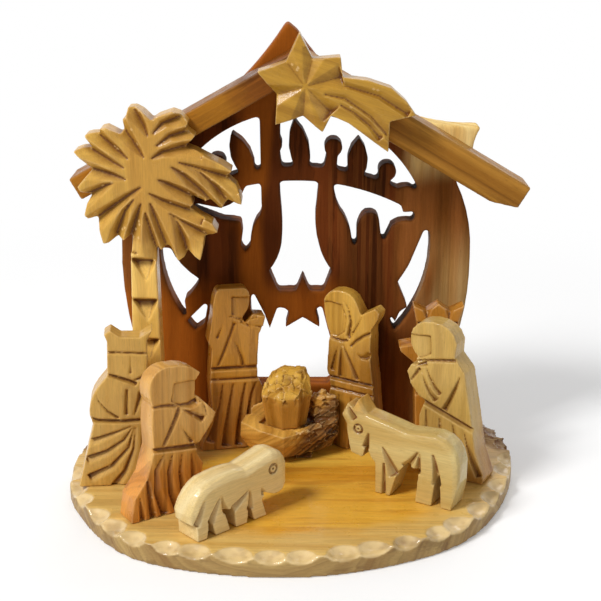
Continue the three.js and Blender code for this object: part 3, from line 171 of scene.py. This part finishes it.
def start_wood(name, ior, varnish):
    """A material with its varnish shader, ready to be joined to a board's grain."""
    wood = bpy.data.materials.new(name)
    wood.use_nodes = True
    tree = wood.node_tree
    tree.nodes.clear()
    shader = add(tree, "BsdfPrincipled", {
        "IOR": ior, "Coat Weight": varnish, "Coat Roughness": 0.1, "Coat IOR": 1.35})
    add(tree, "OutputMaterial", {"Surface": shader.outputs[0]})
    return wood, tree, shader


def in_millimetres(tree):
    return vector(tree, "MULTIPLY", add(tree, "TexCoord").outputs["Object"], (1000, 1000, 1000))


def board_place(tree, turn, pith):
    """Millimetres in the board's own directions: the grain along Z and its pith at a distance."""
    sockets = {
        "Vector": add(tree, "TexCoord").outputs["Object"], "Location": pith,
        "Rotation": [radians(angle) for angle in turn], "Scale": (1000, 1000, 1000),
    }
    return add(tree, "Mapping", sockets).outputs[0]


def grain(tree, place, light, deep, line, ring, wander, lines, figure):
    sockets = {
        "Place": place, "Ring Width": ring, "Wander": wander, "Light": colour(light),
        "Deep": colour(deep), "Dark Line": colour(line), "Lines": lines, "Figure": figure,
    }
    return add(tree, "Group", sockets, node_tree=grain_group).outputs


varnish_film = 0.00012


def finish_and_shade_wood(tree, shader, place, tone, relief, shade_and_stain_colour, shade_in_cuts, highlight_and_wear):
    """Joins a board's colour and relief to its shader, with the knife's painted shade and finish."""
    sockets = {
        "Place": place, "Colour": tone, "Grain Relief": relief, "Cut Shade And Stain": colour(shade_and_stain_colour),
        "Cuts": shade_in_cuts, "Highlight And Wear": highlight_and_wear,
    }
    surface = add(tree, "Group", sockets, node_tree=knife_shade_group).outputs
    bump = add(tree, "Bump", {
        "Strength": 0.8, "Distance": varnish_film, "Height": surface["Relief"]})
    tree.links.new(surface["Colour"], shader.inputs["Base Color"])
    tree.links.new(surface["Gloss"], shader.inputs["Roughness"])
    tree.links.new(bump.outputs[0], shader.inputs["Normal"])
    return surface


def ease_edges(node, voxel, rounds):
    """Rounds a sawn and carved piece as sandpaper and varnish do; sizes in millimetres."""
    piece = nodes[node]
    joined = piece.modifiers.new("Joined", "WELD")
    joined.merge_threshold = 1e-6
    sanded = piece.modifiers.new("Sanded", "REMESH")
    sanded.mode = "VOXEL"
    sanded.voxel_size = voxel / 1000
    sanded.use_smooth_shade = True
    eased = piece.modifiers.new("Eased", "SMOOTH")
    eased.factor = 0.5
    eased.iterations = rounds


def split_surface():
    """Sinks a split or barked surface unevenly, from nothing at one place to all at another."""
    tree = bpy.data.node_groups.new("Split surface", "GeometryNodeTree")
    tree.interface.new_socket("Solid", in_out="INPUT", socket_type="NodeSocketGeometry")
    for label in ("Depth", "Chips"):
        tree.interface.new_socket(label, in_out="INPUT", socket_type="NodeSocketFloat")
    for label in ("Fineness", "From", "To", "Ways"):
        tree.interface.new_socket(label, in_out="INPUT", socket_type="NodeSocketVector")
    tree.interface.new_socket("Solid", in_out="OUTPUT", socket_type="NodeSocketGeometry")
    given = tree.nodes.new("NodeGroupInput").outputs
    place = add(tree, "GeometryNodeInputPosition").outputs[0]
    normal = add(tree, "GeometryNodeInputNormal").outputs[0]
    way = vector(tree, "SUBTRACT", given["To"], given["From"])
    along = vector(tree, "DOT_PRODUCT", vector(tree, "SUBTRACT", place, given["From"]), way)
    share = reckon(tree, "DIVIDE", along, vector(tree, "DOT_PRODUCT", way, way))
    share = between(tree, share, 0.0, 1.0)
    fine = vector(tree, "MULTIPLY", place, given["Fineness"])
    lumps = between(tree, noise(tree, fine, 1.0, 2, 0.5), 0.36, 0.64)
    cell = add(tree, "TexVoronoi", {"Vector": fine, "Scale": 1.0}).outputs
    lean = vector(tree, "SUBTRACT", cell["Color"], (0.5, 0.5, 0.5))
    tilt = vector(tree, "DOT_PRODUCT", vector(tree, "SUBTRACT", fine, cell["Position"]), lean)
    step = add(tree, "SeparateXYZ", {0: cell["Color"]}).outputs[0]
    chips = reckon(tree, "ADD", times(tree, step, 0.6), times(tree, tilt, 1.4))
    chipped = times(tree, reckon(tree, "SUBTRACT", chips, lumps), given["Chips"])
    sunk = times(tree, reckon(tree, "ADD", lumps, chipped), share, given["Depth"])
    inwards = vector(tree, "MULTIPLY", vector(tree, "MULTIPLY", normal, (-1, -1, -1)), given["Ways"])
    offset = vector(tree, "SCALE", inwards, sunk)
    moved = add(tree, "GeometryNodeSetPosition", {"Geometry": given["Solid"], "Offset": offset})
    tree.links.new(moved.outputs[0], tree.nodes.new("NodeGroupOutput").inputs[0])
    return tree


split_group = split_surface()


def split(node, depth, chips, fineness, start, end, ways=(1, 1, 1)):
    """Roughens a piece by this depth in millimetres, growing from one place to another.

    Chips is 0 for a surface of lumps and 1 for one of flat splinters.
    """
    made = nodes[node].modifiers.new("Split", "NODES")
    made.node_group = split_group
    values = {
        "Depth": depth / 1000, "Chips": float(chips), "Fineness": [1000 / size for size in fineness],
        "From": [value / 1000 for value in start], "To": [value / 1000 for value in end], "Ways": ways,
    }
    for socket in split_group.interface.items_tree:
        if socket.name in values:
            made[socket.identifier] = values[socket.name]


def dress(node, wood):
    nodes[node].material_slots[0].material = wood


gold_middle, gold_half_width, gold_half_depth = (8, -6, 0), 56, 50
rim_half_width, rim_half_depth = 77, 57
scoop_floor, top_edge = 3.5, 6.9
bark_start, bark_full = 16, 26


def base_wood():
    wood, tree, shader = start_wood("Base slice", ior=1.35, varnish=0.25)
    shader.inputs["Coat Roughness"].default_value = 0.05
    place = board_place(tree, (0, 90, 0), (4, 21, -34))
    top = grain(tree, place, "EFBE4A", "D8982A", "B06C1E", ring=7, wander=26, lines=0.25, figure=0.35)
    pale = grain(tree, place, "E4BE6E", "CEA252", "8C622C", ring=2.4, wander=12, lines=0.4, figure=0.2)
    side = grain(tree, place, "BA9A5E", "96723F", "664522", ring=1.6, wander=9, lines=0.5, figure=0.35)
    world = in_millimetres(tree)
    parts = add(tree, "SeparateXYZ", {0: world}).outputs
    facing = add(tree, "SeparateXYZ", {0: add(tree, "NewGeometry").outputs["Normal"]}).outputs[2]
    level = between(tree, parts[2], top_edge - 0.55, top_edge)
    level = times(tree, level, between(tree, facing, 0.8, 0.97))
    shifted = vector(tree, "SUBTRACT", world, gold_middle)
    shares = vector(tree, "MULTIPLY", shifted, (1 / gold_half_width, 1 / gold_half_depth, 0))
    from_middle = vector(tree, "LENGTH", shares)
    wander = times(tree, noise(tree, vector(tree, "MULTIPLY", world, (0.5, 1, 1)), 0.07, 3), 0.7)
    inner = between(tree, reckon(tree, "ADD", from_middle, wander), 1.28, 1.02)
    tone = blend(tree, inner, pale["Colour"], top["Colour"])
    tone = blend(tree, level, side["Colour"], tone)
    lying = between(tree, parts[2], scoop_floor, scoop_floor + 1.5)
    lying = times(tree, lying, between(tree, facing, 0.15, 0.6))
    scooped = times(tree, lying, reckon(tree, "SUBTRACT", 1.0, level))
    scraped = times(tree, scooped, between(tree, noise(tree, world, 0.12, 2), 0.35, 0.6, 0.35, 0.9))
    tone = blend(tree, scraped, tone, colour("EACB8E"))
    rear = between(tree, parts[1], bark_start, bark_full)
    shares = vector(tree, "MULTIPLY", world, (1 / rim_half_width, 1 / rim_half_depth, 0))
    rim = vector(tree, "LENGTH", shares)
    steep = between(tree, facing, 0.7, 0.3)
    edge = reckon(tree, "MAXIMUM", steep, between(tree, rim, 0.985, 1.02))
    patches = between(tree, noise(tree, world, 0.35, 4, 0.7), 0.4, 0.6, 0.6, 1.0)
    bark = times(tree, rear, edge, patches)
    rough_bark = blend(tree, noise(tree, world, 0.9, 5, 0.7), colour("2A170B"), colour("9A6430"))
    tone = blend(tree, bark, tone, rough_bark)
    ripples = times(tree, noise(tree, world, 0.3, 1), scooped, 5.0)
    relief = reckon(tree, "ADD", top["Relief"], ripples)
    # Painted shade and stain darken the scoops and cuts, and a faint painted highlight their edges.
    surface = finish_and_shade_wood(tree, shader, place, tone, relief, "8A5420", shade_in_cuts=0.55, highlight_and_wear=0.05)
    dull = reckon(tree, "ADD", times(tree, bark, 0.5), between(tree, facing, 0.5, 0.1, 0.0, 0.2))
    worn = reckon(tree, "ADD", surface["Gloss"], dull)
    tree.links.new(worn, shader.inputs["Roughness"])
    pooled = reckon(tree, "ADD", 0.12, times(tree, scooped, 0.8))
    tree.links.new(pooled, shader.inputs["Coat Weight"])
    return wood


dress("base", base_wood())
ease_edges("base", 0.7, 2)
bark_depth = 2.6
split("base", bark_depth, 0, (2.2, 2.2, 3.5), (0, 14, 4), (0, 28, 4), (1, 1, 0))


# The back panel is a board of dark heartwood with a yellow sapwood edge, its grain upright. The
# round window and the silhouettes are cut with a scroll saw, and it is glued on the base.

def panel_wood():
    """Bands of wood across the board and parts of it up the board, placed in millimetres."""
    wood, tree, shader = start_wood("Back panel heartwood", ior=1.08, varnish=0.0)
    place = board_place(tree, (0, 0, 0), (6, 60, 0))
    dark = grain(tree, place, "6A3414", "42200C", "220E04", ring=2.6, wander=9, lines=0.7, figure=0.5)
    brown = grain(tree, place, "92582A", "744318", "44240C", ring=2.2, wander=7, lines=0.5, figure=0.2)
    yellow = grain(tree, place, "FFE29A", "EABF70", "9A6830", ring=1.9, wander=6, lines=0.5, figure=0.1)
    red = grain(tree, place, "B0631F", "884712", "4E260C", ring=3.2, wander=7, lines=0.3, figure=0.1)
    world = in_millimetres(tree)
    parts = add(tree, "SeparateXYZ", {0: world}).outputs
    upright = vector(tree, "MULTIPLY", world, (1, 1, 0.25))
    drift = times(tree, reckon(tree, "SUBTRACT", noise(tree, upright, 0.05, 3), 0.5), 34)
    across = reckon(tree, "ADD", parts[0], drift)
    second_part = band(tree, across, -48, -36, 30, 38)
    tone = blend(tree, second_part, brown["Colour"], dark["Colour"])
    bars = noise(tree, vector(tree, "MULTIPLY", world, (0.5, 0.1, 0.006)), 1.0, 2, 0.5)
    barred = times(tree, between(tree, bars, 0.48, 0.53), band(tree, across, 8, 14, 40, 46))
    tone = blend(tree, times(tree, barred, 0.28), tone, brown["Colour"])
    red_streak = band(tree, across, -26, -17, -8, -2)
    tone = blend(tree, times(tree, red_streak, 0.95), tone, red["Colour"])
    low = between(tree, parts[2], 70, 58)
    star_part = times(tree, low, between(tree, reckon(tree, "ABSOLUTE", parts[0]), 24, 14))
    low_left = times(tree, low, between(tree, across, -20, -34))
    peak = between(tree, parts[2], 132, 140)
    redder = reckon(tree, "MAXIMUM", reckon(tree, "MAXIMUM", star_part, low_left), peak)
    tone = blend(tree, redder, tone, red["Colour"])
    height = reckon(tree, "ADD", parts[2], times(tree, drift, 0.5))
    wing = times(tree, between(tree, height, 100, 114), between(tree, across, 34, 44))
    low_right = times(tree, between(tree, parts[2], 92, 62), between(tree, across, 42, 50))
    pale_part = reckon(tree, "MAXIMUM", wing, times(tree, low_right, 0.28))
    tone = blend(tree, pale_part, tone, yellow["Colour"])
    # Painted shade and stain darken its creases and recesses, and a faint painted highlight its edges.
    surface = finish_and_shade_wood(tree, shader, place, tone, brown["Relief"], "1E0A03", shade_in_cuts=0.5, highlight_and_wear=0.02)
    tree.links.new(reckon(tree, "ADD", surface["Gloss"], 0.12), shader.inputs["Roughness"])
    return wood


dress("back_panel", panel_wood())
ease_edges("back_panel", 0.65, 2)


# The two roof slats are planed bars glued over the slopes of the panel, with the grain along each.
# The left one is painted darker and redder under the star as the star's shadow, and the right one
# is a little paler all along.

second_part_figure = 1.6
eye_darkening = 0.2


def carved_wood(name, light, deep, line, turn, pith, ring, wander, lines, figure, shade_and_stain_colour, shade_in_cuts, highlight_and_wear,
                second_part=None, eye=None, ior=1.3, varnish=0.25):
    """Varnished olive wood of one board, with its own colours, grain direction and finish.

    The second part is a part of the board in other colours, as a heart is, and on the left slat the
    star's painted shadow: its light, deep and line colours, and the places in millimetres where it
    starts and where it is full. The cuts take painted shade and stain in the cut colour, and the
    ridges a painted highlight and wear. The eye is the middle of a drilled dot and ring, darkened in
    the cut colour.
    """
    wood, tree, shader = start_wood(name, ior, varnish)
    place = board_place(tree, turn, pith)
    board = grain(tree, place, light, deep, line, ring, wander, lines, figure)
    tone = board["Colour"]
    if second_part:
        *colours, start, end = second_part
        strengths = [min(strength * second_part_figure, 1.0) for strength in (lines, figure)]
        inner = grain(tree, place, *colours, ring, wander, *strengths)
        way = Vector(end) - Vector(start)
        world = in_millimetres(tree)
        from_start = vector(tree, "SUBTRACT", world, start)
        along = vector(tree, "DOT_PRODUCT", from_start, way / way.length_squared)
        drift = reckon(tree, "SUBTRACT", noise(tree, world, 0.09, 3), 0.5)
        along = reckon(tree, "ADD", along, times(tree, drift, wander * 2 / way.length))
        tone = blend(tree, between(tree, along, 0.0, 1.0), tone, inner["Colour"])
    if eye:
        away = vector(tree, "LENGTH", vector(tree, "SUBTRACT", in_millimetres(tree), eye))
        drilled_ring = band(tree, away, 0.9, 1.2, 1.8, 2.1)
        drilled = reckon(tree, "MAXIMUM", drilled_ring, between(tree, away, 0.6, 0.4))
        tone = blend(tree, times(tree, drilled, eye_darkening), tone, colour(shade_and_stain_colour))
    finish_and_shade_wood(tree, shader, place, tone, board["Relief"], shade_and_stain_colour, shade_in_cuts, highlight_and_wear)
    return wood


left_pitch, right_pitch = 29.2, 30.7
# The left slat's second part is the star's shadow, painted on it.
dress("roof_slat_left", carved_wood(
    "Left slat", "AC7224", "845212", "5A300E", (0, 90 + left_pitch, 0), (12, 30, 0),
    ring=4, wander=8, lines=0.5, figure=0.35, shade_and_stain_colour="5A2E10", shade_in_cuts=0.4, highlight_and_wear=0.1, ior=1.15, varnish=0,
    second_part=("8E5420", "683A12", "40200A", (-24, 0, 130), (-14, 0, 135))))
dress("roof_slat_right", carved_wood(
    "Right slat", "BC8638", "905E20", "583414", (0, 90 - right_pitch, 0), (-8, 24, 5),
    ring=3, wander=5, lines=0.5, figure=0.25, shade_and_stain_colour="4E2A10", shade_in_cuts=0.5, highlight_and_wear=0.1, ior=1.15, varnish=0))
for slat in ("roof_slat_left", "roof_slat_right"):
    ease_edges(slat, 0.6, 2)


# The comet star is a pale board on the peak, sawn to six arms with the lower right one drawn out
# into a tail. A knife has cut a valley between each two arms and grooves down the tail.

dress("comet_star", carved_wood(
    "Comet star", "C29334", "A2731C", "76480F", (0, 70, 0), (30, 18, 12),
    ring=5, wander=10, lines=0.3, figure=0.12, shade_and_stain_colour="6A3C0A", shade_in_cuts=0.9, highlight_and_wear=0.35))
ease_edges("comet_star", 0.34, 2)


# The palm is a golden board glued to the left slat and the base. Its fan of leaves is cut with a
# gouge, whose cuts are darkened by painted shade and stain, and its paler trunk is notched down
# the front.

dress("palm_tree", carved_wood(
    "Palm", "DAAC4E", "B88434", "764812", (0, 0, 0), (40, 26, 0),
    ring=4.5, wander=12, lines=0.3, figure=0.14, shade_and_stain_colour="683A0A", shade_in_cuts=0.9, highlight_and_wear=0.4,
    second_part=("FFD878", "E8B656", "9A6822", (-50, 8, 90), (-50, 8, 76))))
ease_edges("palm_tree", 0.35, 3)


# The standing figures are boards about 9 mm thick, sawn to outline and cut with a knife on the
# front: folds, belts, veils and crowns. Each is glued upright on the base.

# Each has its material's name, its light, deep and line colours, its pith, the strength of its lines
# and figure, the colour of the painted shade and stain in its cuts, and its heart.
figure_woods = {
    "mother_figure": (
        "Mother", "D69C3C", "B07624", "744210", (8, 22, 0), 0.4, 0.3, "6C3C10",
        ("D09440", "A36D28", "62360F", (0, 0, 36), (0, 0, 28))),
    "father_figure": (
        "Father", "D8A848", "B6822A", "764A16", (-25, 14, 0), 0.3, 0.15, "6A3E0E",
        ("BA8430", "8E5E18", "5E3810", (0, 0, 54), (0, 0, 38))),
    "crowned_king_left": (
        "Left king", "DCB05C", "C0903E", "865820", (50, 30, 0), 0.35, 0.12, "744612", None),
    "hooded_shepherd": (
        "Shepherd", "E2AC5A", "C28838", "884F1A", (60, 42, 0), 0.45, 0.25, "6E3C10",
        ("E49A42", "B87328", "743E10", (0, 0, 31), (0, 0, 20))),
    "veiled_wise_man": (
        "Wise man", "D6B266", "BE9644", "885C24", (-40, 20, 0), 0.3, 0.1, "744812",
        ("C6944A", "A26E2A", "704214", (52, 0, 24), (66, 0, 12))),
    "crowned_king_right": (
        "Right king", "CE8E36", "A06218", "5A2E0C", (-52, 8, 0), 0.4, 0.25, "4C260A", None),
}
for node, (name, light, deep, line, pith, lines, figure, shade_and_stain_colour, second_part) in figure_woods.items():
    dress(node, carved_wood(
        name, light, deep, line, (0, 0, 0), pith, ring=2.6, wander=7,
        lines=lines, figure=figure, shade_and_stain_colour=shade_and_stain_colour, shade_in_cuts=0.72, highlight_and_wear=0.3, second_part=second_part))
    ease_edges(node, 0.33, 2)


# The sheep and the ox are small boards of pale sapwood with the grain along the body. Their backs
# are planed round, and the thick varnish on them takes a bright light.

sheep_turn, ox_turn = 42, -30
dress("sheep", carved_wood(
    "Sheep", "F0DAA4", "E2C27E", "B88A48", (90, sheep_turn - 90, 0), (10, 30, 0),
    ring=3.4, wander=8, lines=0.15, figure=0.05, shade_and_stain_colour="946A30", shade_in_cuts=0.5, highlight_and_wear=0.15, varnish=0.6,
    eye=(-6.8, -27.5, 22.4)))
dress("ox", carved_wood(
    "Ox", "D6C080", "C4A25A", "9A7034", (90, ox_turn - 90, 0), (24, 12, 0),
    ring=3.6, wander=9, lines=0.2, figure=0.08, shade_and_stain_colour="7C4A18", shade_in_cuts=0.6, highlight_and_wear=0.15, varnish=0.6,
    second_part=("DEAC50", "C48E3C", "8C5A24", (0, 0, 30), (0, 0, 38)), eye=(21, -9.7, 28.5)))
for animal in ("sheep", "ox"):
    ease_edges(animal, 0.28, 3)


# The manger is a trough hewn from a branch, golden at its left end and striped with dark
# heartwood at its right. The infant is a split block seated in it, with a rough top.

dress("manger", carved_wood(
    "Manger", "E0AC50", "BC8432", "80501C", (0, 125, 0), (40, -17, 0),
    ring=1.5, wander=4, lines=0.42, figure=0.3, shade_and_stain_colour="6A3A12", shade_in_cuts=0.6, highlight_and_wear=0.5,
    second_part=("A87840", "241208", "0C0502", (-3, 15, 14), (0, 15, 11.5)), ior=1.2, varnish=0.08))
dress("infant", carved_wood(
    "Infant", "C48C3A", "9E6A22", "663A0E", (0, 0, 0), (2, 12, 0),
    ring=2.2, wander=6, lines=0.4, figure=0.25, shade_and_stain_colour="6A3E12", shade_in_cuts=0.6, highlight_and_wear=0.5,
    second_part=("DCAC48", "B4822C", "74481A", (0, 0, 28), (0, 0, 31)), ior=1.2, varnish=0.08))
ease_edges("manger", 0.36, 1)
ease_edges("infant", 0.32, 1)
split("manger", 1.1, 1, (4, 4, 1.6), (-4, 0, 14), (6, 0, 19))
split("infant", 0.9, 0.9, (2.4, 2.4, 4.5), (0, 0, 27), (0, 0, 30))


# The stable stands on a plain white table under soft studio lamps: a strong one from the upper
# left, a weaker one from the right and one behind, with a white surround.

def rays(tree, *kinds):
    """1 for any of these kinds of ray, 0 for the others."""
    path = add(tree, "LightPath").outputs
    total = path[kinds[0]]
    for kind in kinds[1:]:
        total = reckon(tree, "MAXIMUM", total, path[kind])
    return total


table_grey, table_glow = 0.82, 0.2
shadow_reach, white_from = 0.16, 0.42


def table_material():
    cover = bpy.data.materials.new("White table")
    cover.use_nodes = True
    tree = cover.node_tree
    tree.nodes.clear()
    matt = add(tree, "BsdfPrincipled", {
        "Base Color": (table_grey, table_grey, table_grey, 1), "Roughness": 0.9,
        "Emission Color": (1, 1, 1, 1)})
    seen = rays(tree, "Is Camera Ray", "Is Glossy Ray", "Is Transmission Ray")
    tree.links.new(times(tree, seen, table_glow), matt.inputs["Emission Strength"])
    white = add(tree, "Emission", {"Color": (1, 1, 1, 1), "Strength": 1.0})
    reach = vector(tree, "LENGTH", add(tree, "TexCoord").outputs["Object"])
    far = times(tree, between(tree, reach, shadow_reach, white_from), seen)
    mixed = add(tree, "MixShader", {0: far, 1: matt.outputs[0], 2: white.outputs[0]})
    add(tree, "OutputMaterial", {"Surface": mixed.outputs[0]})
    return cover


half_table = 4.0
table_top = -0.0002
mesh = bpy.data.meshes.new("table")
signs = ((-1, -1), (1, -1), (1, 1), (-1, 1))
corners = [(x * half_table, y * half_table, table_top) for x, y in signs]
mesh.from_pydata(corners, [], [(0, 1, 2, 3)])
table = bpy.data.objects.new("table", mesh)
bpy.context.scene.collection.objects.link(table)
table.data.materials.append(table_material())

surround_light = 0.24
world = bpy.data.worlds.new("Surround")
bpy.context.scene.world = world
world.use_nodes = True
surround = world.node_tree
surround.nodes.clear()
seen = rays(surround, "Is Camera Ray", "Is Glossy Ray", "Is Transmission Ray")
strength = between(surround, seen, 0.0, 1.0, surround_light, 1.0)
sky = add(surround, "Background", {"Color": (1, 1, 1, 1), "Strength": strength})
add(surround, "OutputWorld", {"Surface": sky.outputs[0]})


stable_middle = Vector((0, 0, 0.07))


def lamp(name, place, size, power):
    """A square soft lamp, turned to the middle of the stable."""
    light = bpy.data.lights.new(name, "AREA")
    light.size = size
    light.energy = power
    made = bpy.data.objects.new(name, light)
    made.location = place
    aim = stable_middle - Vector(place)
    made.rotation_euler = aim.to_track_quat("-Z", "Y").to_euler()
    bpy.context.scene.collection.objects.link(made)


lamp("key lamp", (-0.62, -0.5, 0.88), size=0.3, power=11)
lamp("fill lamp", (0.8, -0.6, 0.5), size=0.6, power=1.4)
lamp("rear lamp", (0.2, 0.6, 0.8), size=0.5, power=2.5)


# The camera stands in front of the stable, a hair to the right of its middle, and looks down on
# it. Its lens is the photograph's, reckoned from the focal length and picture width in pixels.

focal_length, picture_width, sensor_width = 1300, 601, 36
looks_down = 17.7
view = bpy.data.cameras.new("camera")
view.lens = focal_length * sensor_width / picture_width
camera = bpy.data.objects.new("camera", view)
camera.location = (0.0019, -0.407, 0.2)
camera.rotation_euler = (radians(90 - looks_down), 0, 0)
bpy.context.scene.collection.objects.link(camera)
bpy.context.scene.camera = camera
bpy.context.scene.view_settings.view_transform = "Standard"
